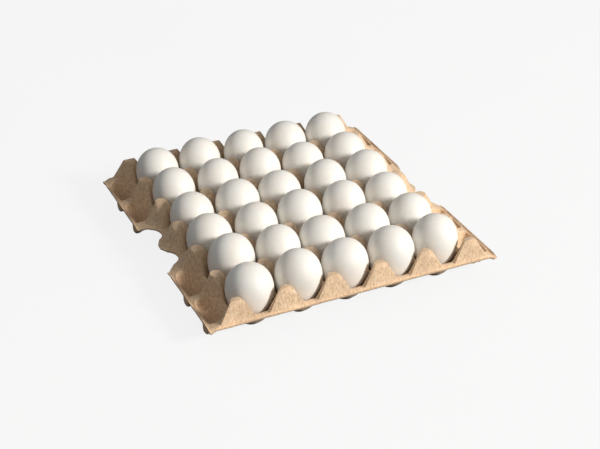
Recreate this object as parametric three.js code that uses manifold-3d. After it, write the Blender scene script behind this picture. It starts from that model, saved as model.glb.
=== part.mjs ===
// A square tray of moulded paper pulp that holds thirty hen's eggs, five across and six deep.
// Half cups run down both sides and are open to a finger notch in the middle of each side.
// Millimetres, +Z up, origin on the ground under the middle of the tray, columns along X.

import * as THREE from "three";
import { mergeVertices } from "three/addons/utils/BufferGeometryUtils.js";
import Module from "manifold-3d";

const wasm = await Module();
wasm.setup();

// ---- Driving dimensions ----

const PITCH = 47.6; // between the middles of neighbouring cups, both ways
const COLUMNS = 5;
const ROWS = 6;
const WALL = 2; // thickness of the pulp
const POST_HEIGHT = 43; // ground to the flat tops of the posts
const SADDLE_HEIGHT = 23.3; // crest between two cups, midway between two posts
const RIM_HEIGHT = 21; // lower edge of the front and back faces
const SADDLE_HALF = 6.5; // half the level stretch of that crest
const POST_TOP_HALF = 5.9; // middle of a post to the edge of its flat top, along a row of posts

// The inside of a cup, from its floor up to where it opens into the corners between four posts.
// Each radius is to the flats of a ring of facets.
const FLOOR_RADIUS = 6.7;
const BELLY = { radius: 14.2, height: 9.5 };
const SHOULDER = { radius: 20, height: 18 };

const TRAY_LENGTH_X = 294;
const TRAY_LENGTH_Y = 298;
// Down both sides the rim slopes down and out from a line on the saddles to its own edge.
const SIDE_RIM = { x: 138.5, height: 23.5, edgeTop: 21.1, edgeFoot: 19.5 };
const SIDE_FOOT_X = 136.4; // where the side walls' outer face meets the ground, but for the feet
const SIDE_FOOT = { x: 141.1, half: 5.8, height: 12 }; // a half cup's foot, square and upright
const END_DRAFT = 0.2; // how far the front and back lean in, for each millimetre up

// Each finger notch is two round bites out of a side, with a tongue between them.
const BITE = { x: 143, y: 22.6, radius: 13.8 };
const BITE_FROM = 124; // where a bite's arc begins and ends, in degrees either side of outwards
const BITE_TO = 126;
const NOTCH_MOUTH = 44.5; // middle of the side to the end of the notch, along the rim
const TONGUE = { x: 139.6, half: 3 };
const LEDGE_HEIGHT = 23.15; // top of the pulp where it ends at a bite

const EGG_WIDTH = 43.6;
const EGG_LENGTH = 58;
const EGG_SPREAD = 0.035; // how far a size may be from the mean, as a share of it
const EGG_LEAN = 3; // steepest lean of an egg, in degrees
const EGG_TAPER = 0.14; // how much fuller the upper half is than the lower
const EGG_GAP = 0.35; // clearance between an egg and the pulp under it
const WIDTH_SEED = 50870;
const LENGTH_SEED = 53234;
const LEAN_BACK_SEED = 3;
const LEAN_SIDE_SEED = 35548;

const PULP = { color: 0xd2b48c, roughness: 0.95, metalness: 0 };
const SHELL = { color: 0xf3efe6, roughness: 0.55, metalness: 0 };

// ---- Worked out from them ----

const HALF_PITCH = PITCH / 2;
const HALF_X = TRAY_LENGTH_X / 2;
const HALF_Y = TRAY_LENGTH_Y / 2;
const SIDE_DRAFT = (HALF_X - SIDE_FOOT_X) / SADDLE_HEIGHT;
const LAST_ROW = (ROWS - 1) / 2; // in pitches from the middle
const LAST_COLUMN = (COLUMNS - 1) / 2;
const HALF_CUP_COLUMN = LAST_COLUMN + 1;
const POST_EDGE = HALF_PITCH - POST_TOP_HALF;

const WELL_BELOW = 10000;
const CLEAR = 1; // how far a cutting block passes what it cuts
const FLOOR_SIDES = 8;
const RING_SIDES = 12;
const EGG_SIDES = 12;
const EGG_BANDS = 8;

// ---- Solids ----

function solidOf(geometry) {
  const bare = geometry.clone();
  bare.deleteAttribute("normal");
  bare.deleteAttribute("uv");
  const welded = mergeVertices(bare, 1e-3);
  const mesh = new wasm.Mesh({
    numProp: 3,
    vertProperties: new Float32Array(welded.attributes.position.array),
    triVerts: new Uint32Array(welded.index.array),
  });
  return new wasm.Manifold(mesh);
}

function geometryOf(solid) {
  const { vertProperties, triVerts } = solid.getMesh();
  const geometry = new THREE.BufferGeometry();
  geometry.setAttribute("position", new THREE.BufferAttribute(vertProperties, 3));
  geometry.setIndex(new THREE.BufferAttribute(triVerts, 1));
  return geometry;
}

// A block whose rectangle changes from one half size to another between two heights.
function draftedBlock(low, high) {
  const geometry = new THREE.BoxGeometry(2, 2, 2);
  const corners = geometry.attributes.position;
  for (let i = 0; i < corners.count; i++) {
    const end = corners.getZ(i) > 0 ? high : low;
    corners.setXYZ(i, corners.getX(i) * end.x, corners.getY(i) * end.y, end.z);
  }
  return solidOf(geometry);
}

// ---- One cup and the quarter posts at its corners ----

// A ring of flats that stand a radius from the cup's middle.
function ring(radius, height, sides) {
  const turn = (2 * Math.PI) / sides;
  const corner = radius / Math.cos(turn / 2);
  return Array.from({ length: sides }, (_, i) => {
    return new THREE.Vector3(corner * Math.cos(i * turn), corner * Math.sin(i * turn), height);
  });
}

// The cup's outline where four cups meet: level at each saddle, rising to each post's top.
function cellOutline(postEdge, saddleHeight, postHeight) {
  const side = [
    [HALF_PITCH, -postEdge, postHeight],
    [HALF_PITCH, -SADDLE_HALF, saddleHeight],
    [HALF_PITCH, SADDLE_HALF, saddleHeight],
    [HALF_PITCH, postEdge, postHeight],
  ];
  const up = new THREE.Vector3(0, 0, 1);
  return [0, 1, 2, 3].flatMap((quarter) =>
    side.map((point) => new THREE.Vector3(...point).applyAxisAngle(up, (quarter * Math.PI) / 2)),
  );
}

// The triangles between two loops of points round the same middle.
function bridge(inner, outer) {
  const bearing = (point) => Math.atan2(point.y, point.x);
  const sorted = (loop) => [...loop].sort((a, b) => bearing(a) - bearing(b));
  const [a, b] = [sorted(inner), sorted(outer)];
  const after = (loop, i) => bearing(loop[i % loop.length]) + (i >= loop.length ? 2 * Math.PI : 0);
  const triangles = [];
  let [i, j] = [0, 0];
  while (i < a.length || j < b.length) {
    const from = [a[i % a.length], b[j % b.length]];
    const stepInner = j >= b.length || (i < a.length && after(a, i + 1) <= after(b, j + 1));
    const next = stepInner ? a[(i + 1) % a.length] : b[(j + 1) % b.length];
    triangles.push(from[0], from[1], next);
    if (stepInner) i++;
    else j++;
  }
  return triangles;
}

function cupCell({ loops, outline, postHeight }) {
  const [floor] = loops;
  const middle = new THREE.Vector3(0, 0, floor[0].z);
  const triangles = floor.flatMap((point, i) => [middle, point, floor[(i + 1) % floor.length]]);
  [...loops, outline].slice(1).forEach((loop, i) => triangles.push(...bridge(loops[i], loop)));
  const perSide = outline.length / 4;
  for (let side = 0; side < 4; side++) {
    const edge = outline[side * perSide + perSide - 1];
    const next = outline[((side + 1) * perSide) % outline.length];
    const corner = new THREE.Vector3(
      Math.sign(edge.x + next.x) * HALF_PITCH,
      Math.sign(edge.y + next.y) * HALF_PITCH,
      postHeight,
    );
    triangles.push(edge, corner, next);
  }
  return triangles;
}

// The strip that carries the last saddles and posts on past the outermost row of cups.
function endStrip(outline, postHeight) {
  const perSide = outline.length / 4;
  const reach = new THREE.Vector3(0, HALF_PITCH, 0);
  const row = [
    new THREE.Vector3(HALF_PITCH, HALF_PITCH, postHeight),
    ...outline.slice(perSide, 2 * perSide),
    new THREE.Vector3(-HALF_PITCH, HALF_PITCH, postHeight),
  ];
  return row.slice(1).flatMap((point, i) => {
    const [a, b] = [row[i], point];
    const [c, d] = [b.clone().add(reach), a.clone().add(reach)];
    return [a, d, c, a, c, b];
  });
}

// A surface over the whole tray, closed by joining its border to one point far below.
function terrain({ cup, ledge }) {
  const corners = [];
  const place = (triangles, x, y, turn) => {
    const matrix = new THREE.Matrix4().makeRotationZ(turn).setPosition(x, y, 0);
    triangles.forEach((point) => corners.push(...point.clone().applyMatrix4(matrix)));
  };
  const strip = endStrip(cup.outline, cup.postHeight);
  for (let column = -HALF_CUP_COLUMN; column <= HALF_CUP_COLUMN; column++) {
    for (let row = -LAST_ROW; row <= LAST_ROW; row++) {
      const notched = Math.abs(column) === HALF_CUP_COLUMN && Math.abs(row) < 1;
      place(cupCell(notched ? ledge : cup), column * PITCH, row * PITCH, 0);
    }
    place(strip, column * PITCH, LAST_ROW * PITCH, 0);
    place(strip, column * PITCH, -LAST_ROW * PITCH, Math.PI);
  }
  const open = new THREE.BufferGeometry();
  open.setAttribute("position", new THREE.Float32BufferAttribute(corners, 3));
  const surface = mergeVertices(open, 1e-2);
  const index = [...surface.index.array];
  const deep = surface.attributes.position.count;
  const edges = new Set();
  for (let i = 0; i < index.length; i += 3)
    for (let k = 0; k < 3; k++) edges.add(`${index[i + k]},${index[i + ((k + 1) % 3)]}`);
  for (const edge of edges) {
    const [from, to] = edge.split(",").map(Number);
    if (!edges.has(`${to},${from}`)) index.push(to, from, deep);
  }
  const points = [...surface.attributes.position.array, 0, 0, -WELL_BELOW];
  const closed = new THREE.BufferGeometry();
  closed.setAttribute("position", new THREE.Float32BufferAttribute(points, 3));
  closed.setIndex(index);
  return solidOf(closed);
}

// ---- The tray ----

// The face that the eggs see, and the shallow cells that the finger notches are cut in.
function upperFace() {
  const outline = cellOutline(POST_EDGE, SADDLE_HEIGHT, POST_HEIGHT);
  const loops = [
    ring(FLOOR_RADIUS, WALL, FLOOR_SIDES),
    ring(BELLY.radius, BELLY.height, RING_SIDES),
    ring(SHOULDER.radius, SHOULDER.height, RING_SIDES),
  ];
  const ledge = [ring(BITE.radius - CLEAR, LEDGE_HEIGHT, RING_SIDES)];
  return {
    cup: { loops, outline, postHeight: POST_HEIGHT },
    ledge: { loops: ledge, outline, postHeight: POST_HEIGHT },
  };
}

// The same form one wall's thickness below and outside it.
function lowerFace() {
  const slope = (from, to) => Math.atan2(to.height - from.height, to.radius - from.radius);
  const floor = { radius: FLOOR_RADIUS, height: WALL };
  const crest = { radius: HALF_PITCH, height: SADDLE_HEIGHT };
  const bend = (slope(BELLY, SHOULDER) + slope(SHOULDER, crest)) / 2;
  const post = POST_HEIGHT - WALL;
  const ridge = (POST_HEIGHT - SADDLE_HEIGHT) / (POST_EDGE - SADDLE_HALF);
  const thinner = (WALL * (Math.hypot(1, ridge) - 1)) / ridge;
  const outline = cellOutline(POST_EDGE + thinner, SADDLE_HEIGHT - WALL, post);
  const loops = [
    ring(FLOOR_RADIUS + WALL * Math.tan(slope(floor, BELLY) / 2), 0, FLOOR_SIDES),
    ring(
      SHOULDER.radius + WALL * Math.sin(bend),
      SHOULDER.height - WALL * Math.cos(bend),
      RING_SIDES,
    ),
  ];
  const ledge = [ring(BITE.radius - CLEAR, LEDGE_HEIGHT - WALL, RING_SIDES)];
  return {
    cup: { loops, outline, postHeight: post },
    ledge: { loops: ledge, outline, postHeight: post },
  };
}

// Blocks stacked on each other, each from one half size and height to the next.
function stack(levels) {
  const pairs = levels.slice(1).map((level, i) => [levels[i], level]);
  const blocks = pairs.filter(([below, above]) => above.z > below.z);
  return wasm.Manifold.union(blocks.map((pair) => draftedBlock(...pair)));
}

// Where the front and back faces stand at a height: they lean in above the rim.
function endFace(z) {
  return HALF_Y - END_DRAFT * Math.max(0, z - RIM_HEIGHT);
}

// The outer face of a side wall at a height: it leans out.
function sideFace(z) {
  return SIDE_FOOT_X + SIDE_DRAFT * z;
}

// One block for each row of cups, right across the tray.
function blockPerRow(half, bottom, top) {
  const block = draftedBlock({ ...half, z: bottom }, { x: half.x + CLEAR, y: half.y, z: top });
  const rows = Array.from({ length: ROWS }, (_, row) => row - LAST_ROW);
  return wasm.Manifold.union(rows.map((row) => block.translate([0, row * PITCH, 0])));
}

// Everything inside the outer faces.
function insideFaces() {
  const { x, height, edgeTop, edgeFoot } = SIDE_RIM;
  const top = POST_HEIGHT + CLEAR;
  const walls = stack([
    { x: sideFace(-CLEAR), y: endFace(-CLEAR), z: -CLEAR },
    { x: sideFace(edgeFoot), y: endFace(edgeFoot), z: edgeFoot },
    { x: HALF_X, y: endFace(edgeFoot), z: edgeFoot },
    { x: HALF_X, y: endFace(edgeTop), z: edgeTop },
    { x, y: endFace(height), z: height },
    { x, y: endFace(top), z: top },
  ]);
  return walls.add(blockPerRow({ x: SIDE_FOOT.x, y: SIDE_FOOT.half }, -CLEAR, SIDE_FOOT.height));
}

// Where the tray may be hollow: anywhere below the rim, and a wall's thickness inside the faces.
function insidePulp() {
  const beyond = { x: 2 * HALF_X, y: 2 * HALF_Y };
  const rim = SIDE_RIM.height - WALL;
  const edge = HALF_X - WALL;
  const rise = (rim - SIDE_RIM.edgeFoot) / (edge - SIDE_RIM.x);
  const atRim = { x: edge - (RIM_HEIGHT - SIDE_RIM.edgeFoot) / rise, z: RIM_HEIGHT };
  const face = (z) => endFace(z) - WALL * Math.hypot(1, END_DRAFT);
  const top = POST_HEIGHT + CLEAR;
  return stack([
    { ...beyond, z: -WELL_BELOW / 2 },
    { ...beyond, z: SIDE_RIM.edgeFoot },
    { x: edge, y: beyond.y, z: SIDE_RIM.edgeFoot },
    { ...atRim, y: beyond.y },
    { ...atRim, y: face(RIM_HEIGHT) },
    { x: SIDE_RIM.x, y: face(rim), z: rim },
    { x: SIDE_RIM.x, y: face(top), z: top },
  ]);
}

// What closes the half cups down both sides, but for the insides of their feet.
function sideWalls() {
  const beyond = { x: 2 * HALF_X, y: 2 * HALF_Y };
  const outer = draftedBlock({ ...beyond, z: -CLEAR }, { ...beyond, z: SIDE_RIM.height - CLEAR });
  const half = (z) => ({ x: sideFace(z) - WALL * Math.hypot(1, SIDE_DRAFT), y: 3 * HALF_Y, z });
  const inside = { x: SIDE_FOOT.x - WALL, y: SIDE_FOOT.half - WALL };
  return outer
    .subtract(draftedBlock(half(-2 * CLEAR), half(SIDE_RIM.height)))
    .subtract(blockPerRow(inside, -2 * CLEAR, SIDE_FOOT.height - WALL));
}

// What one finger notch takes away, cut right through.
function fingerNotch() {
  const outside = HALF_X + CLEAR;
  const from = THREE.MathUtils.degToRad(BITE_FROM);
  const to = THREE.MathUtils.degToRad(BITE_TO);
  const shape = new THREE.Shape();
  shape.moveTo(outside, 0);
  shape.lineTo(outside, -NOTCH_MOUTH);
  shape.absarc(BITE.x, -BITE.y, BITE.radius, -to, from, true);
  shape.lineTo(TONGUE.x, -TONGUE.half);
  shape.lineTo(TONGUE.x, TONGUE.half);
  shape.absarc(BITE.x, BITE.y, BITE.radius, -from, to, true);
  shape.lineTo(outside, NOTCH_MOUTH);
  const depth = POST_HEIGHT + 2 * CLEAR;
  const prism = new THREE.ExtrudeGeometry(shape, { depth, bevelEnabled: false, curveSegments: 7 });
  return solidOf(prism.translate(0, 0, -CLEAR));
}

function tray() {
  const notch = fingerNotch();
  return terrain(upperFace())
    .add(sideWalls())
    .intersect(insideFaces())
    .subtract(terrain(lowerFace()).intersect(insidePulp()))
    .subtract(notch)
    .subtract(notch.rotate([0, 0, 180]));
}

// ---- The eggs ----

// An even-looking scatter between -1 and 1 that is the same for an egg every time.
function scatter(column, row, seed) {
  const wave = Math.sin(12.9898 * column + 78.233 * row + 37.719 * seed) * 43758.5453;
  return 2 * (wave - Math.floor(wave)) - 1;
}

// An egg that stands on the origin, blunt end up.
function eggGeometry(width, length) {
  const profile = Array.from({ length: EGG_BANDS + 1 }, (_, i) => {
    const angle = Math.PI * (i / EGG_BANDS);
    const along = -Math.cos(angle);
    const radius = (width / 2) * Math.sin(angle) * (1 + EGG_TAPER * along);
    return new THREE.Vector2(radius, (along * length) / 2);
  });
  profile[0].x = 0;
  profile[EGG_BANDS].x = 0;
  return new THREE.LatheGeometry(profile, EGG_SIDES).rotateX(Math.PI / 2).translate(0, 0, length / 2);
}

function egg(column, row) {
  const width = EGG_WIDTH * (1 + EGG_SPREAD * scatter(column, row, WIDTH_SEED));
  const length = EGG_LENGTH * (1 + EGG_SPREAD * scatter(column, row, LENGTH_SEED));
  const lean = THREE.MathUtils.degToRad(EGG_LEAN);
  const geometry = eggGeometry(width, length)
    .rotateX(lean * scatter(column, row, LEAN_BACK_SEED))
    .rotateY(lean * scatter(column, row, LEAN_SIDE_SEED));
  geometry.computeBoundingBox();
  const mesh = new THREE.Mesh(geometry, new THREE.MeshStandardMaterial(SHELL));
  mesh.position.set(column * PITCH, row * PITCH, WALL + EGG_GAP - geometry.boundingBox.min.z);
  return mesh;
}

// ---- The object ----

const object = new THREE.Group();

const trayMesh = new THREE.Mesh(geometryOf(tray()), new THREE.MeshStandardMaterial(PULP));
trayMesh.name = "tray";
object.add(trayMesh);

for (let row = 0; row < ROWS; row++) {
  for (let column = 0; column < COLUMNS; column++) {
    const mesh = egg(column - LAST_COLUMN, row - LAST_ROW);
    mesh.name = `egg_row${row + 1}_${column + 1}`;
    object.add(mesh);
  }
}

export default object;
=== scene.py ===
"""A pulp tray of thirty eggs in a plain studio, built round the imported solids."""
import math
from contextlib import contextmanager
from itertools import zip_longest

import bmesh
import bpy
from bpy.props import FloatProperty, FloatVectorProperty, PointerProperty
from mathutils import Matrix, Vector, noise


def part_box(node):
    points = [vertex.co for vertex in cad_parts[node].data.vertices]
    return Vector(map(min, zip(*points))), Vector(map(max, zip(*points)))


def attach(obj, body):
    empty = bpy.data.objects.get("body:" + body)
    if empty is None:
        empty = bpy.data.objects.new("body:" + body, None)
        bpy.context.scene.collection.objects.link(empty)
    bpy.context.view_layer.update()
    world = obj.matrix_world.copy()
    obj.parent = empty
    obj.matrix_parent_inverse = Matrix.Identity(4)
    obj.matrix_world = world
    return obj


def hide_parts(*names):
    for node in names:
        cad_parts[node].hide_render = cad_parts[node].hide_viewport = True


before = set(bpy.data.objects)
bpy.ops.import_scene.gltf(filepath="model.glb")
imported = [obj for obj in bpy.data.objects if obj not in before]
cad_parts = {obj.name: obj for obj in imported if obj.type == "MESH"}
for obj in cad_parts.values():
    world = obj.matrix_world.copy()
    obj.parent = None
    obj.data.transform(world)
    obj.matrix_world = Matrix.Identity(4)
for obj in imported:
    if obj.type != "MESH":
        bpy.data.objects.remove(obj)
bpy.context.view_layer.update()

bl_info = {
    "name": "Egg Tray",
    "version": (1, 0, 0),
    "blender": (4, 5, 0),
    "location": "View3D > Sidebar > Egg Tray",
    "description": "Builds a moulded pulp tray of eggs in a plain studio",
    "category": "Object",
}

# ---- Read from the frame ----

HALF_X, HALF_Y, POST_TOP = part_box("tray")[1]
EGG_NODES = sorted(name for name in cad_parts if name.startswith("egg_row"))
COLUMNS = max(int(name.split("_")[-1]) for name in EGG_NODES)
ROWS = len(EGG_NODES) // COLUMNS
MM = 0.001


# ---- What a user would change ----


def a_length(name, text, default):
    return FloatProperty(
        name=name, description=text, default=default, unit="LENGTH", subtype="DISTANCE"
    )


def a_colour(name, text, default):
    return FloatVectorProperty(
        name=name, description=text, default=default, size=3, min=0, max=1, subtype="COLOR"
    )


def a_share(name, text, default):
    return FloatProperty(
        name=name, description=text, default=default, min=0, max=1, subtype="FACTOR"
    )


class TraySizes(bpy.types.PropertyGroup):
    pitch: a_length("Pitch", "Between the middles of neighbouring cups", 47.6 * MM)
    wall: a_length("Wall", "Thickness of the pulp", 2 * MM)
    lip: a_length("Lip", "Thickness of the pulp at the outer rim", 1.3 * MM)
    crest: a_length("Crest", "Height of the crests between two cups", 23.3 * MM)
    post: a_length("Post", "Height of the posts", POST_TOP)
    rim: a_length("Rim", "Height of the rim down both sides, inside its curl", 19.7 * MM)
    side_foot: a_length(
        "Side foot", "Outer face of the side walls on the ground, from the middle", 136.4 * MM
    )
    end_lean: a_share("End lean", "How far the front and back lean in, for each unit up", 0.2)
    curl: a_length("Curl", "How far the rim turns up along both sides", 1.7 * MM)
    bite: a_length("Bite", "Radius of each of a finger notch's round bites", 13.8 * MM)
    dents: a_length("Dents", "How uneven the pulp is", 0.35 * MM)


class EggSizes(bpy.types.PropertyGroup):
    taper: a_share("Taper", "How much fuller the upper half is than the lower", 0.14)


class Finishes(bpy.types.PropertyGroup):
    pulp: a_colour("Pulp", "Colour of most of the pulp", (0.76, 0.545, 0.36))
    pulp_pale: a_colour("Pale fibre", "Colour of the pulp's palest fibres", (0.88, 0.69, 0.48))
    pulp_dark: a_colour("Dark fibre", "Colour of the pulp's darkest specks", (0.50, 0.335, 0.21))
    shell: a_colour("Shell", "Colour of the eggs", (0.86, 0.845, 0.80))
    shell_warm: a_colour("Shell bloom", "Colour of the eggs' faint patches", (0.86, 0.81, 0.74))


class StudioSettings(bpy.types.PropertyGroup):
    key: FloatProperty(
        name="Key light", description="Power of the large soft light", default=96, unit="POWER"
    )
    sky: a_share("Surroundings", "Strength of the light from all round", 0.31)
    floor: a_colour("Floor", "Colour of the floor in full light", (0.955, 0.955, 0.955))
    floor_glow: a_share("Floor glow", "How much of the floor's brightness is its own", 0.9)


# ---- Modelling by hand, with the operators ----


def pick(piece):
    """Leaves one object selected and active."""
    bpy.ops.object.select_all(action="DESELECT")
    piece.select_set(True)
    bpy.context.view_layer.objects.active = piece
    return piece


@contextmanager
def edit(piece):
    pick(piece)
    bpy.ops.object.mode_set(mode="EDIT")
    yield bmesh.from_edit_mesh(piece.data)
    bmesh.update_edit_mesh(piece.data)
    bpy.ops.object.mode_set(mode="OBJECT")


def select_edges(mesh, wanted):
    bpy.ops.mesh.select_mode(type="EDGE")
    bpy.ops.mesh.select_all(action="DESELECT")
    for edge in mesh.edges:
        edge.select = wanted(edge)
    mesh.select_flush_mode()


def add_modifier(piece, kind, **settings):
    """Adds a modifier and applies it."""
    pick(piece)
    modifier = piece.modifiers.new(kind.title(), kind)
    for name, value in settings.items():
        setattr(modifier, name, value)
    bpy.ops.object.modifier_apply(modifier=modifier.name)


def settle(piece):
    """Puts a piece's place, turn and size into its mesh."""
    pick(piece)
    bpy.ops.object.transform_apply(location=True, rotation=True, scale=True)


def join(pieces, name):
    bpy.ops.object.select_all(action="DESELECT")
    for piece in pieces:
        piece.select_set(True)
    bpy.context.view_layer.objects.active = pieces[0]
    bpy.ops.object.join()
    joined = bpy.context.object
    joined.name = joined.data.name = name
    return joined


# ---- The tray: its measures ----

# Along a crest, from midway between two posts: where its points stand.
CREST_STEPS = tuple(step * MM for step in (2.2, 5.6, 6.9, 8.9, 11.4, 14.2, 17.1, 18.2))
CREST_LEVEL = 6.5 * MM  # the level stretch between two posts, each way from its middle
CREST_TOP = 17.9 * MM  # where the slope beyond it would meet a post's top
CREST_BEND = 0.6 * MM  # how softly the level turns into the slope
POST_BEND = 0.6 * MM  # how softly the slope turns into the post's top
POST_TURNS = tuple(math.radians(turn) for turn in (22.5, 45, 67.5))  # points round a post's top
# The inside of a cup: radius and height of each ring, from its floor to its shoulder.
CUP_RINGS = (
    (6.2 * MM, 2.0 * MM),
    (7.6 * MM, 2.5 * MM),
    (11.9 * MM, 6.3 * MM),
    (14.7 * MM, 9.6 * MM),
    (17.8 * MM, 13.8 * MM),
    (20.3 * MM, 18.0 * MM),
)
# From the shoulder out to the crest: how far along, and how far up.
WALL_RINGS = ((0.28, 0.3), (0.55, 0.58), (0.82, 0.86), (1.0, 1.0))

# The half cups down both sides, measured out from their middles.
HALF_CUP_CORNER = 9  # how square the corners are where the round meets the wall
FOOT_REACH = 3.7 * MM  # from the inside of a foot, out to the middle
FOOT_HALF = (3.9 * MM, 4.3 * MM, 5.2 * MM)  # where the foot's sides stand, from the floor up
# Above the shoulder: height (None is the rim's own), how much wider the mouth is and how
# square its corners are.
MOUTH_RINGS = ((19.4 * MM, 0.3 * MM, 7), (None, 0.9 * MM, 5), (None, 1.5 * MM, 5))
MOUTH_OUT = 0.9 * MM  # how much further out the mouth reaches towards the rim
MOUTH_FROM = -14 * MM  # where the crests begin to belong to the mouth
MOUTH_TO = -5 * MM  # where they wholly do
RIM_FALL = 4.3 * MM  # from where the crests start to fall to the rim, out to the middle
CURL_WIDTH = 1.5 * MM  # of the rim's upturned edge, seen from above
CURL_TAPER = 7 * MM  # how far from its ends the edge turns up less
CURL_LEAST = 0.3  # the share of the turn that is left at its ends

# A finger notch: two bites with a tongue between them, out from the half cups' middles and
# along from the tray's.
NOTCHED_ROWS = 1  # on each side of the middle
BITE_OUT = 0.2 * MM
BITE_ALONG = 22.6 * MM
BITE_ARC = (126, 236)  # in degrees, from the rim round to the tongue
NOTCH_MOUTH = 42.0 * MM  # the end of the notch, along
TONGUE_TIP = -3.2 * MM  # out
TONGUE_HALF = 3.0 * MM
MOUTH_SHARES = (1.0, 0.67, 0.33)  # points along the straight cut from the rim to the bite
TONGUE_SHARES = (0.5, 1.0)  # points along the straight cut from the bite to the tip
NOTCH_WALL_RINGS = (
    (0.0, 0.0),
    (0.1, 0.0),
    (0.22, 0.1),
    (0.4, 0.32),
    (0.6, 0.6),
    (0.8, 0.88),
    (1.0, 1.0),
)

# The front and back faces.
LIP_TOP = 22.3 * MM
LIP_REACH = 1.5 * MM  # how far the lip stands out from the face
LIP_DIP = 0.45 * MM  # of the groove between the lip's edge and the face over it
LIP_STEPS = ((0.4, LIP_DIP), (1, -LIP_DIP))  # how far out along the lip, and how far down
FACE_STEPS = (0, 0.35, 0.5, 1)  # rows of points down the face, from the crests to the lip
FACE_LEAST = 0.2 * MM  # the least height of the face where the rim falls away

# The sheet as a whole.
DENTS = ((14 * MM, 1.0), (6 * MM, 0.5))  # how far apart they are, and their share of the depth
WELD = 0.02 * MM  # points nearer to one another than this are merged
EDGE_WEAR = 0.3 * MM  # how far the worn edges are cut back
EDGE_ANGLE = math.radians(60)  # edges sharper than this are worn
SMOOTH_ANGLE = math.radians(50)  # and edges sharper than this stay crisp


# ---- The tray: rings of one cup, drawn up from its floor to its crests ----


def crest_height(sizes, along):
    """The height of the crest between two posts, by distance from its middle."""
    share = (along - CREST_LEVEL) / (CREST_TOP - CREST_LEVEL)
    slope = sizes.crest + share * (sizes.post - sizes.crest)
    under = (slope + sizes.post - math.hypot(slope - sizes.post, POST_BEND)) / 2
    return (under + sizes.crest + math.hypot(under - sizes.crest, CREST_BEND)) / 2


def crest_loop(sizes):
    """The crests and posts round a cup, anticlockwise from just past +X."""
    half = sizes.pitch / 2
    round_post = half - CREST_STEPS[-1]
    side = [Vector((half, along, crest_height(sizes, along))) for along in CREST_STEPS]
    post = [
        Vector((half - round_post * math.sin(turn), half - round_post * math.cos(turn), sizes.post))
        for turn in POST_TURNS
    ]
    quarter = [*side, *post, *(Vector((p.y, p.x, p.z)) for p in reversed(side))]
    return [Matrix.Rotation(turn * math.pi / 2, 3, "Z") @ p for turn in range(4) for p in quarter]


def extrude_edges(mesh, place):
    """Extrudes the selected edges and moves their new points to where a function puts them."""
    bpy.ops.mesh.extrude_edges_move()
    for vert in [v for v in mesh.verts if v.select]:
        vert.co = place(vert.co.copy())


def draw_rings(mesh, rings):
    """Draws rings one after another, from the edge that is selected, which lies on the first."""
    for was, ring in zip(rings, rings[1:]):

        def place(point, was=was, ring=ring):
            return ring[min(range(len(was)), key=lambda k: (was[k] - point).length_squared)]

        extrude_edges(mesh, place)


def between(first, second, along, up):
    """A ring between two others: a share of the way along, and a share of the way up."""
    pairs = zip(first, second)
    return [Vector((*a.lerp(b, along).xy, a.z + up * (b.z - a.z))) for a, b in pairs]


def cup_rings(sizes):
    """The rings of a whole cup, each with a point under each point of its crests."""
    crest = crest_loop(sizes)
    rings = [
        [Vector((*(radius * p.xy.normalized()), height)) for p in crest]
        for radius, height in CUP_RINGS
    ]
    return [*rings, *(between(rings[-1], crest, along, up) for along, up in WALL_RINGS)]


# Beside the rim a cup is cut short by the side wall. Only the right side's are drawn.


def side_middle(sizes):
    """Where the middles of the half cups are, out from the tray's."""
    return (COLUMNS + 1) / 2 * sizes.pitch


def side_wall(sizes, height):
    """The inner face of the right side's wall, from the middle of its half cups, at a height."""
    lean = (HALF_X - sizes.side_foot) / sizes.crest
    outer = sizes.side_foot + lean * height
    return outer - sizes.wall * math.hypot(1, lean) - side_middle(sizes)


def rim_line(sizes):
    """Where the right side's rim ends and its curl begins, from the same middle."""
    return HALF_X - CURL_WIDTH - side_middle(sizes)


def rim_height(sizes, out):
    """The height of the pulp between the half cups, at a distance out from their middle."""
    fall = (out + RIM_FALL) / (rim_line(sizes) + RIM_FALL)
    return sizes.crest - max(0.0, min(1.0, fall)) * (sizes.crest - sizes.rim)


def half_crest_loop(sizes):
    """A half cup's crests and posts, closed along the rim."""
    loop = crest_loop(sizes)
    rim, half = rim_line(sizes), sizes.pitch / 2
    for point in loop:
        point.z -= sizes.crest - rim_height(sizes, point.x)
    outside = [k for k, point in enumerate(loop) if point.x > 0]
    outside.sort(key=lambda k: math.atan2(loop[k].y, loop[k].x))
    for step, k in enumerate(outside):
        along = half * (2 * step / (len(outside) - 1) - 1)
        loop[k] = Vector((rim, along, sizes.rim))
    return loop


def d_ring(loop, radius, wall, height, corner, half=math.inf):
    """A ring with a point under each of a loop's: round, but for a flat along a wall."""
    middle = Vector(((wall - radius) / 2, 0))
    ring = []
    for point in loop:
        away = (point.xy - middle).normalized()
        across = middle.dot(away)
        to_round = -across + math.sqrt(across**2 - middle.length_squared + radius**2)
        to_wall = (wall - middle.x) / away.x if away.x > 0 else math.inf
        to_side = half / abs(away.y) if away.y else math.inf
        reach = sum(way**-corner for way in (to_round, to_wall, to_side)) ** (-1 / corner)
        ring.append(Vector((*(middle + reach * away), height)))
    return ring


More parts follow.
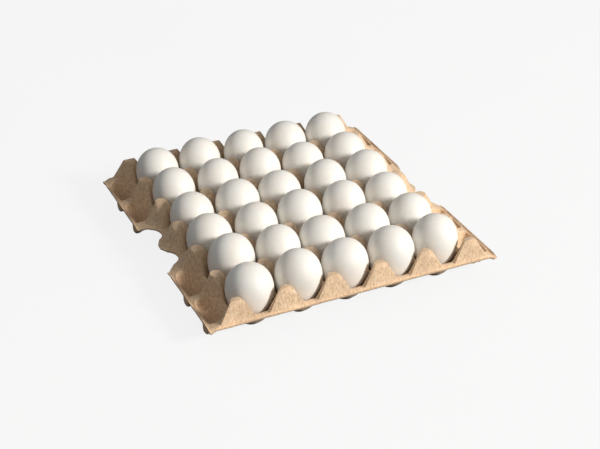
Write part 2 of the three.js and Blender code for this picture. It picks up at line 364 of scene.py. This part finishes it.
def half_cup_rings(sizes):
    """The rings of a half cup, which stand on its foot and open into its mouth."""
    crest = half_crest_loop(sizes)
    rings = []
    for (radius, height), half in zip_longest(CUP_RINGS, FOOT_HALF, fillvalue=math.inf):
        wall = side_wall(sizes, height) if half == math.inf else -FOOT_REACH
        rings.append(d_ring(crest, radius, wall, height, HALF_CUP_CORNER, half))
    shoulder = rings[-1]
    for (height, wider, corner), (along, up) in zip(MOUTH_RINGS, WALL_RINGS):
        wall = side_wall(sizes, shoulder[0].z) + wider + MOUTH_OUT
        mouth = d_ring(crest, CUP_RINGS[-1][0] + wider, wall, 0, corner)
        ring = between(shoulder, crest, along, up)
        for k, point in enumerate(mouth):
            level = rim_height(sizes, point.x)
            point.z = level if height is None else min(height, level)
            share = (crest[k].x - MOUTH_FROM) / (MOUTH_TO - MOUTH_FROM)
            ring[k] = ring[k].lerp(point, max(0.0, min(1.0, share)))
        rings.append(ring)
    return [*rings, crest]


def notch_rings(sizes):
    """The pulp round the back bite of the right side's notch, from its edge to the crests."""
    rim = half_crest_loop(sizes)
    crest = [point for point, ahead in zip(rim, [*rim[1:], rim[0]]) if min(point.x, ahead.x) < 0]
    half = sizes.pitch / 2
    crest[-1] = Vector((TONGUE_TIP, -half, 0))
    bite = Vector((BITE_OUT, BITE_ALONG - half))

    def on_bite(angle):
        return bite + sizes.bite * Vector((math.cos(angle), math.sin(angle)))

    first, last = (math.radians(angle) for angle in BITE_ARC)
    arc_steps = len(crest) - len(MOUTH_SHARES) - len(TONGUE_SHARES) - 1
    arc = [on_bite(first + (last - first) * step / arc_steps) for step in range(arc_steps + 1)]
    rim_end = Vector((rim_line(sizes), NOTCH_MOUTH - half))
    tongue_end = Vector((TONGUE_TIP, TONGUE_HALF - half))
    edge = [
        *(arc[0].lerp(rim_end, share) for share in MOUTH_SHARES),
        *arc,
        *(arc[-1].lerp(tongue_end, share) for share in TONGUE_SHARES),
    ]
    edge = [Vector((*point, rim_height(sizes, point.x))) for point in edge]
    crest[-1].z = edge[-1].z
    return [between(edge, crest, along, up) for along, up in NOTCH_WALL_RINGS]


def weld():
    """Merges the points that stand on one another, in the mesh that is being edited."""
    bpy.ops.mesh.select_all(action="SELECT")
    bpy.ops.mesh.remove_doubles(threshold=WELD)


def raise_posts(mesh, sizes):
    """Closes the quarters of the posts' flat tops at a cell's corners."""
    half = sizes.pitch / 2
    near = CREST_STEPS[-1] - WELD

    def on_post(edge):
        return edge.is_boundary and all(min(abs(v.co.x), abs(v.co.y)) > near for v in edge.verts)

    def to_corner(point):
        return Vector((math.copysign(half, point.x), math.copysign(half, point.y), sizes.post))

    select_edges(mesh, on_post)
    extrude_edges(mesh, to_corner)
    weld()


def new_cell(rings, sizes, closed=True):
    """One cell of the tray, drawn up from a circle that becomes its first ring."""
    bpy.ops.mesh.primitive_circle_add(
        vertices=len(rings[0]), radius=CUP_RINGS[0][0], fill_type="NGON" if closed else "NOTHING"
    )
    cell = bpy.context.object
    with edit(cell) as mesh:
        for vert, place in zip(sorted(mesh.verts, key=lambda v: v.index), rings[0], strict=True):
            vert.co = place
        if not closed:
            ends = (rings[0][0], rings[0][-1])

            def closes(edge):
                return all(min((v.co - end).length for end in ends) < WELD for v in edge.verts)

            select_edges(mesh, closes)
            bpy.ops.mesh.delete(type="EDGE")
        select_edges(mesh, lambda edge: len(edge.link_faces) < 2)
        draw_rings(mesh, rings)
        raise_posts(mesh, sizes)
    return cell


def stand_at(piece, x, y):
    piece.location = (x, y, 0)
    settle(piece)


def repeat(piece, count, offset):
    """Copies a cell side by side, merged where the copies meet."""
    add_modifier(
        piece,
        "ARRAY",
        count=count,
        use_relative_offset=False,
        use_constant_offset=True,
        constant_offset_displace=offset,
        use_merge_vertices=True,
        merge_threshold=WELD,
    )


def mould_sheet(sizes):
    """The face of the tray that the eggs see, without the ends and the curled edges."""
    pitch = sizes.pitch
    whole = new_cell(cup_rings(sizes), sizes)
    stand_at(whole, -(COLUMNS - 1) / 2 * pitch, -(ROWS - 1) / 2 * pitch)
    repeat(whole, COLUMNS, (pitch, 0, 0))
    repeat(whole, ROWS, (0, pitch, 0))
    halves = new_cell(half_cup_rings(sizes), sizes)
    stand_at(halves, side_middle(sizes), (NOTCHED_ROWS + 0.5) * pitch)
    repeat(halves, ROWS // 2 - NOTCHED_ROWS, (0, pitch, 0))
    notch = new_cell(notch_rings(sizes), sizes, closed=False)
    stand_at(notch, side_middle(sizes), pitch / 2)
    sides = join([halves, notch], "sides")
    add_modifier(sides, "MIRROR", use_axis=(True, True, False), merge_threshold=WELD)
    sheet = join([whole, sides], "pulp_tray")
    with edit(sheet):
        weld()
        bpy.ops.mesh.normals_make_consistent(inside=False)
    return sheet


def face_line(sizes, height):
    """Where the front and back faces stand, out from the middle, at a height."""
    return HALF_Y - LIP_REACH - sizes.end_lean * (height - LIP_TOP)


def draw_ends(mesh, sizes):
    """The leaning front and back faces and the thin lip under them."""
    end = ROWS / 2 * sizes.pitch

    def at_end(edge):
        return edge.is_boundary and all(abs(v.co.y) > end - WELD for v in edge.verts)

    def on_face(point, height):
        return Vector((point.x, math.copysign(face_line(sizes, height), point.y), height))

    def foot_height(point):
        level = rim_height(sizes, abs(point.x) - side_middle(sizes))
        return min(LIP_TOP, level - FACE_LEAST)

    def lower(share):
        return lambda point: on_face(point, point.z + share * (foot_height(point) - point.z))

    def lip(share, drop):
        reach = HALF_Y - (1 - share) * LIP_REACH
        return lambda point: Vector((point.x, math.copysign(reach, point.y), point.z - drop))

    select_edges(mesh, at_end)
    for place in (*map(lower, FACE_STEPS), *(lip(*step) for step in LIP_STEPS)):
        extrude_edges(mesh, place)


def draw_side_curls(mesh, sizes):
    """The rim's upturned edge along both sides."""
    rim = rim_line(sizes) + side_middle(sizes)

    def at_rim(edge):
        return edge.is_boundary and all(abs(v.co.x) > rim - WELD for v in edge.verts)

    def turned_up(point):
        to_end = min(HALF_Y - abs(point.y), abs(point.y) - NOTCH_MOUTH)
        rise = sizes.curl * max(CURL_LEAST, min(1.0, to_end / CURL_TAPER))
        return Vector((math.copysign(HALF_X, point.x), point.y, point.z + rise))

    select_edges(mesh, at_rim)
    extrude_edges(mesh, turned_up)


def thin_the_lip(sheet):
    """A vertex group that is full everywhere but at the outer rim."""
    group = sheet.vertex_groups.new(name="full")
    inner = [
        v.index
        for v in sheet.data.vertices
        if abs(v.co.x) < HALF_X - WELD and abs(v.co.y) < HALF_Y - WELD
    ]
    group.add(inner, 1.0, "REPLACE")
    return group.name


def dent(piece, depth):
    """Moves each point a little along its normal, as pulp dries unevenly."""
    for vert in piece.data.vertices:
        amount = sum(part * noise.noise(vert.co / size) for size, part in DENTS)
        vert.co += depth * amount * vert.normal


def keep_in_box(piece):
    """Brings back the few points that dents and wear have moved out of the solid's box."""
    for vert in piece.data.vertices:
        vert.co.x = max(-HALF_X, min(HALF_X, vert.co.x))
        vert.co.y = max(-HALF_Y, min(HALF_Y, vert.co.y))
        vert.co.z = max(0.0, min(POST_TOP, vert.co.z))


def make_tray(sizes):
    """The whole tray: the face that the eggs see, dented, thickened and worn at its edges."""
    sheet = mould_sheet(sizes)
    with edit(sheet) as mesh:
        draw_ends(mesh, sizes)
        draw_side_curls(mesh, sizes)
        weld()
        bpy.ops.mesh.normals_make_consistent(inside=False)
        if sum(face.normal.z for face in mesh.faces) < 0:
            bpy.ops.mesh.flip_normals()
    full = thin_the_lip(sheet)
    dent(sheet, sizes.dents)
    add_modifier(
        sheet,
        "SOLIDIFY",
        thickness=sizes.wall,
        offset=-1,
        use_even_offset=True,
        use_quality_normals=True,
        vertex_group=full,
        thickness_vertex_group=sizes.lip / sizes.wall,
    )
    add_modifier(
        sheet,
        "BEVEL",
        width=EDGE_WEAR,
        segments=1,
        limit_method="ANGLE",
        angle_limit=EDGE_ANGLE,
    )
    keep_in_box(sheet)
    pick(sheet)
    bpy.ops.object.shade_smooth_by_angle(angle=SMOOTH_ANGLE)
    return sheet


# ---- The eggs ----

EGG_SEGMENTS = 56
EGG_RINGS = 36


def make_egg(node, sizes):
    """An egg that fills its node, fuller at the top."""
    points = [vert.co.copy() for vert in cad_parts[node].data.vertices]
    low, high = min(points, key=lambda p: p.z), max(points, key=lambda p: p.z)
    axis = high - low
    centre = (low + high) / 2
    radius = max((point - centre).cross(axis.normalized()).length for point in points)
    bpy.ops.mesh.primitive_uv_sphere_add(segments=EGG_SEGMENTS, ring_count=EGG_RINGS, radius=1)
    egg = bpy.context.object
    egg.name = egg.data.name = node.replace("egg_", "smooth_egg_")
    egg.scale = (radius, radius, axis.length / 2)
    settle(egg)
    taper = 2 * sizes.taper
    add_modifier(egg, "SIMPLE_DEFORM", deform_method="TAPER", deform_axis="Z", factor=taper)
    widest = max(vert.co.xy.length for vert in egg.data.vertices)
    egg.scale = (radius / widest, radius / widest, 1)
    egg.rotation_mode = "QUATERNION"
    egg.rotation_quaternion = Vector((0, 0, 1)).rotation_difference(axis)
    egg.location = centre
    settle(egg)
    bpy.ops.object.shade_smooth()
    return egg


# ---- Finishes ----

GRAIN_DETAIL = {"Patches": 3.0, "Coarse": 4.0, "Fine": 2.0}

# The pulp. Each range is the part of a noise over which its mark comes in.
PULP_GRAIN = {"Patches Scale": 55, "Coarse Scale": 620, "Fine Scale": 2200}
PULP_DRAW = (1, 1, 0.45)  # marks longer in height, as the mould draws the fibres up its walls
PALE_RANGE = (0.5, 0.7)
DARK_RANGE = (0.46, 0.25)
FLECK_SCALE = 380
FLECK_RANGE = (0.16, 0.06)
FLECKED_RANGE = (0.45, 0.65)  # of the patches that have flecks
PATCH_RANGE = (0.3, 0.7)
PATCH_SHADES = ((0.86, 0.85, 0.84), (1.06, 1.05, 1.03))
PULP_BUMP = {"Strength": 0.8, "Distance": 0.5 * MM}
PULP_FINE = 0.5  # how much the fine grain adds to the coarse one

# The shells.
SHELL_GRAIN = {"Patches Scale": 45, "Coarse Scale": 900, "Fine Scale": 2600}
BLOOM_RANGE = (0.35, 0.75)
SHELL_BUMP = {"Strength": 0.25, "Distance": 0.12 * MM}
SHELL_FINE = 0.6
SHELL_ROUGHNESS = {"To Min": 0.42, "To Max": 0.58}


def add_node(tree, kind, inputs=(), **settings):
    """Adds a node, sets its properties, and sets or links the inputs that are given."""
    node = tree.nodes.new(kind)
    for name, value in settings.items():
        setattr(node, name, value)
    for name, value in dict(inputs).items():
        if isinstance(value, bpy.types.NodeSocket):
            tree.links.new(value, node.inputs[name])
        else:
            node.inputs[name].default_value = value
    return node


def rgba(colour):
    return (*colour, 1.0)


def spread(tree, value, low, high):
    """Stretches the part of a value between low and high over nought to one."""
    inputs = {"Value": value, "From Min": low, "From Max": high}
    return add_node(tree, "ShaderNodeMapRange", inputs).outputs["Result"]


def mix(tree, factor, first, second, blend="MIX"):
    """Mixes two colours. A Mix node has sockets for each kind of value: these are the colours'."""
    inputs = {0: factor, 6: first, 7: second}
    return add_node(tree, "ShaderNodeMix", inputs, data_type="RGBA", blend_type=blend).outputs[2]


def add(tree, first, second, share):
    """The first value plus a share of the second."""
    inputs = {0: second, 1: share, 2: first}
    return add_node(tree, "ShaderNodeMath", inputs, operation="MULTIPLY_ADD").outputs["Value"]


def times(tree, first, second):
    inputs = {0: first, 1: second}
    return add_node(tree, "ShaderNodeMath", inputs, operation="MULTIPLY").outputs["Value"]


def start_group(name, inputs, outputs):
    """A shader node group whose sockets are pairs of a name and a kind."""
    tree = bpy.data.node_groups.new(name, "ShaderNodeTree")
    for direction, sockets in (("INPUT", inputs), ("OUTPUT", outputs)):
        for socket, kind in sockets:
            tree.interface.new_socket(socket, in_out=direction, socket_type=f"NodeSocket{kind}")
    given = tree.nodes.new("NodeGroupInput").outputs
    made = tree.nodes.new("NodeGroupOutput").inputs
    return tree, given, made


def grain_group():
    """Noise at three sizes: broad patches, a coarse grain and a fine one."""
    inputs = [("Vector", "Vector")] + [(f"{output} Scale", "Float") for output in GRAIN_DETAIL]
    outputs = [(output, "Float") for output in GRAIN_DETAIL]
    tree, given, made = start_group("SurfaceGrain", inputs, outputs)
    for output, detail in GRAIN_DETAIL.items():
        inputs = {"Vector": given["Vector"], "Scale": given[f"{output} Scale"], "Detail": detail}
        texture = add_node(tree, "ShaderNodeTexNoise", inputs)
        tree.links.new(texture.outputs["Fac"], made[output])
    return tree


def start_material(name, roughness):
    material = bpy.data.materials.new(name)
    material.use_nodes = True
    tree = material.node_tree
    shader = tree.nodes["Principled BSDF"]
    shader.inputs["Roughness"].default_value = roughness
    place = add_node(tree, "ShaderNodeTexCoord").outputs["Object"]
    return material, tree, shader, place


def grain_node(tree, group, inputs):
    return add_node(tree, "ShaderNodeGroup", inputs, node_tree=group).outputs


def pulp_material(finishes, group):
    """Tan pulp: pale and dark fibres pressed into a mottled, matt, slightly furry sheet."""
    material, tree, shader, place = start_material("moulded_pulp", 0.92)
    drawn = add_node(tree, "ShaderNodeMapping", {"Vector": place, "Scale": PULP_DRAW})
    drawn = drawn.outputs["Vector"]
    grain = grain_node(tree, group, {"Vector": drawn, **PULP_GRAIN})
    pale = spread(tree, grain["Coarse"], *PALE_RANGE)
    colour = mix(tree, pale, rgba(finishes.pulp), rgba(finishes.pulp_pale))
    dark = spread(tree, grain["Coarse"], *DARK_RANGE)
    colour = mix(tree, dark, colour, rgba(finishes.pulp_dark))
    inputs = {"Vector": drawn, "Scale": FLECK_SCALE, "Randomness": 1.0}
    flecks = add_node(tree, "ShaderNodeTexVoronoi", inputs).outputs["Distance"]
    fleck = spread(tree, flecks, *FLECK_RANGE)
    flecked = spread(tree, grain["Patches"], *FLECKED_RANGE)
    colour = mix(tree, times(tree, fleck, flecked), colour, rgba(finishes.pulp_dark))
    patch = spread(tree, grain["Patches"], *PATCH_RANGE)
    shade = mix(tree, patch, *map(rgba, PATCH_SHADES))
    colour = mix(tree, 1.0, colour, shade, "MULTIPLY")
    tree.links.new(colour, shader.inputs["Base Color"])
    height = add(tree, grain["Coarse"], grain["Fine"], PULP_FINE)
    bump = add_node(tree, "ShaderNodeBump", {"Height": height, **PULP_BUMP})
    tree.links.new(bump.outputs["Normal"], shader.inputs["Normal"])
    shader.inputs["Specular IOR Level"].default_value = 0.2
    shader.inputs["Sheen Weight"].default_value = 0.15
    return material


def shell_material(finishes, group):
    """White eggshell: matt, with faint warm patches and fine pores."""
    material, tree, shader, place = start_material("eggshell", 0.48)
    grain = grain_node(tree, group, {"Vector": place, **SHELL_GRAIN})
    bloom = spread(tree, grain["Patches"], *BLOOM_RANGE)
    colour = mix(tree, bloom, rgba(finishes.shell), rgba(finishes.shell_warm))
    tree.links.new(colour, shader.inputs["Base Color"])
    pores = add(tree, grain["Coarse"], grain["Fine"], SHELL_FINE)
    bump = add_node(tree, "ShaderNodeBump", {"Height": pores, **SHELL_BUMP})
    tree.links.new(bump.outputs["Normal"], shader.inputs["Normal"])
    rough = add_node(tree, "ShaderNodeMapRange", {"Value": grain["Coarse"], **SHELL_ROUGHNESS})
    tree.links.new(rough.outputs["Result"], shader.inputs["Roughness"])
    shader.inputs["Specular IOR Level"].default_value = 0.35
    shader.inputs["Subsurface Weight"].default_value = 0.15
    shader.inputs["Subsurface Radius"].default_value = (1.0, 0.8, 0.6)
    shader.inputs["Subsurface Scale"].default_value = 2 * MM
    return material


def give_material(piece, material):
    piece.data.materials.clear()
    piece.data.materials.append(material)


def shared_grain():
    """The grain that both finishes share, made once."""
    return bpy.data.node_groups.get("SurfaceGrain") or grain_group()


# ---- The studio ----

CAMERA_AZIMUTH = math.radians(-25.256)
CAMERA_ELEVATION = math.radians(31.243)
CAMERA_ROLL = math.radians(0.146)
CAMERA_DISTANCE = 1.35736
CAMERA_TARGET = Vector((1.52 * MM, -17.59 * MM, 21 * MM))
CAMERA_LENS = 82.51
CAMERA_NEAREST = 0.05
FLOOR_SIZE = 12.0
FLOOR_PATCHES = 3.0  # the scale of the floor's faint patches
FLOOR_FAINT = 0.985  # how bright they are beside the rest
KEY_TURN = math.radians(39)
KEY_HEIGHT = math.radians(30)
KEY_DISTANCE = 3.0
KEY_SIZE = 0.7
KEY_COLOUR = (1.0, 0.97, 0.93)


def bearing(azimuth, elevation):
    """The way from the object to something at an azimuth and an elevation."""
    level = math.cos(elevation)
    return Vector((math.sin(azimuth) * level, -math.cos(azimuth) * level, math.sin(elevation)))


def aim(thing, away):
    thing.rotation_euler = away.to_track_quat("Z", "Y").to_euler()


def add_camera():
    away = bearing(CAMERA_AZIMUTH, CAMERA_ELEVATION)
    bpy.ops.object.camera_add(location=CAMERA_TARGET + CAMERA_DISTANCE * away)
    camera = bpy.context.object
    turn = away.to_track_quat("Z", "Y") @ Matrix.Rotation(CAMERA_ROLL, 3, "Z").to_quaternion()
    camera.rotation_euler = turn.to_euler()
    camera.data.lens = CAMERA_LENS
    camera.data.clip_start = CAMERA_NEAREST
    bpy.context.scene.camera = camera


def add_floor(studio):
    """Pale paper, which gives off most of its brightness itself where the camera sees it."""
    bpy.ops.mesh.primitive_plane_add(size=FLOOR_SIZE)
    floor = bpy.context.object
    floor.name = floor.data.name = "floor"
    material, tree, shader, place = start_material("floor_paper", 0.9)
    shade = add_node(tree, "ShaderNodeTexNoise", {"Vector": place, "Scale": FLOOR_PATCHES})
    faint = tuple(FLOOR_FAINT * part for part in studio.floor)
    colour = mix(tree, shade.outputs["Fac"], rgba(studio.floor), rgba(faint))
    seen = add_node(tree, "ShaderNodeLightPath").outputs["Is Camera Ray"]
    glow = times(tree, seen, studio.floor_glow)
    lit = 1 - studio.floor_glow
    rest = mix(tree, 1.0, colour, rgba((lit, lit, lit)), "MULTIPLY")
    tree.links.new(rest, shader.inputs["Base Color"])
    tree.links.new(colour, shader.inputs["Emission Color"])
    tree.links.new(glow, shader.inputs["Emission Strength"])
    shader.inputs["Specular IOR Level"].default_value = 0.0
    give_material(floor, material)
    return floor


def add_key(studio):
    away = bearing(KEY_TURN, KEY_HEIGHT)
    bpy.ops.object.light_add(type="AREA", location=KEY_DISTANCE * away)
    key = bpy.context.object
    aim(key, away)
    key.data.shape = "DISK"
    key.data.size = KEY_SIZE
    key.data.energy = studio.key
    key.data.color = KEY_COLOUR


def light_all_round(studio):
    world = bpy.data.worlds.new("studio_sky")
    world.use_nodes = True
    background = world.node_tree.nodes["Background"]
    background.inputs["Color"].default_value = (1.0, 1.0, 1.0, 1.0)
    background.inputs["Strength"].default_value = studio.sky
    bpy.context.scene.world = world
    bpy.context.scene.view_settings.view_transform = "Standard"


# ---- Operators and panel ----


class EGGTRAY_OT_mould_tray(bpy.types.Operator):
    """Mould the pulp tray and put it in the place of its solid"""

    bl_idname = "eggtray.mould_tray"
    bl_label = "Mould Tray"

    def execute(self, context):
        tray = make_tray(context.scene.tray_sizes)
        give_material(tray, pulp_material(context.scene.egg_tray_finishes, shared_grain()))
        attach(tray, "root")
        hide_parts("tray")
        return {"FINISHED"}


class EGGTRAY_OT_lay_eggs(bpy.types.Operator):
    """Make every egg and put it in the place of its solid"""

    bl_idname = "eggtray.lay_eggs"
    bl_label = "Lay Eggs"

    def execute(self, context):
        shell = shell_material(context.scene.egg_tray_finishes, shared_grain())
        for node in EGG_NODES:
            egg = make_egg(node, context.scene.egg_sizes)
            give_material(egg, shell)
            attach(egg, "root")
            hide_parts(node)
        return {"FINISHED"}


class EGGTRAY_OT_set_studio(bpy.types.Operator):
    """Set up the floor, the lights and the camera"""

    bl_idname = "eggtray.set_studio"
    bl_label = "Set Up Studio"

    def execute(self, context):
        studio = context.scene.egg_tray_studio
        add_camera()
        add_floor(studio)
        add_key(studio)
        light_all_round(studio)
        return {"FINISHED"}


class EGGTRAY_PT_sidebar(bpy.types.Panel):
    bl_label = "Egg Tray"
    bl_idname = "EGGTRAY_PT_sidebar"
    bl_space_type = "VIEW_3D"
    bl_region_type = "UI"
    bl_category = "Egg Tray"

    def draw(self, context):
        for step in STEPS:
            self.layout.operator(step.bl_idname)


PROPERTIES = {
    "tray_sizes": TraySizes,
    "egg_sizes": EggSizes,
    "egg_tray_finishes": Finishes,
    "egg_tray_studio": StudioSettings,
}
STEPS = (EGGTRAY_OT_mould_tray, EGGTRAY_OT_lay_eggs, EGGTRAY_OT_set_studio)


def register():
    for kind in (*PROPERTIES.values(), *STEPS, EGGTRAY_PT_sidebar):
        bpy.utils.register_class(kind)
    for name, kind in PROPERTIES.items():
        setattr(bpy.types.Scene, name, PointerProperty(type=kind))


def unregister():
    for name in PROPERTIES:
        delattr(bpy.types.Scene, name)
    for kind in (EGGTRAY_PT_sidebar, *reversed(STEPS), *PROPERTIES.values()):
        bpy.utils.unregister_class(kind)


def main():
    register()
    bpy.ops.eggtray.mould_tray()
    bpy.ops.eggtray.lay_eggs()
    bpy.ops.eggtray.set_studio()


if __name__ == "__main__":
    main()
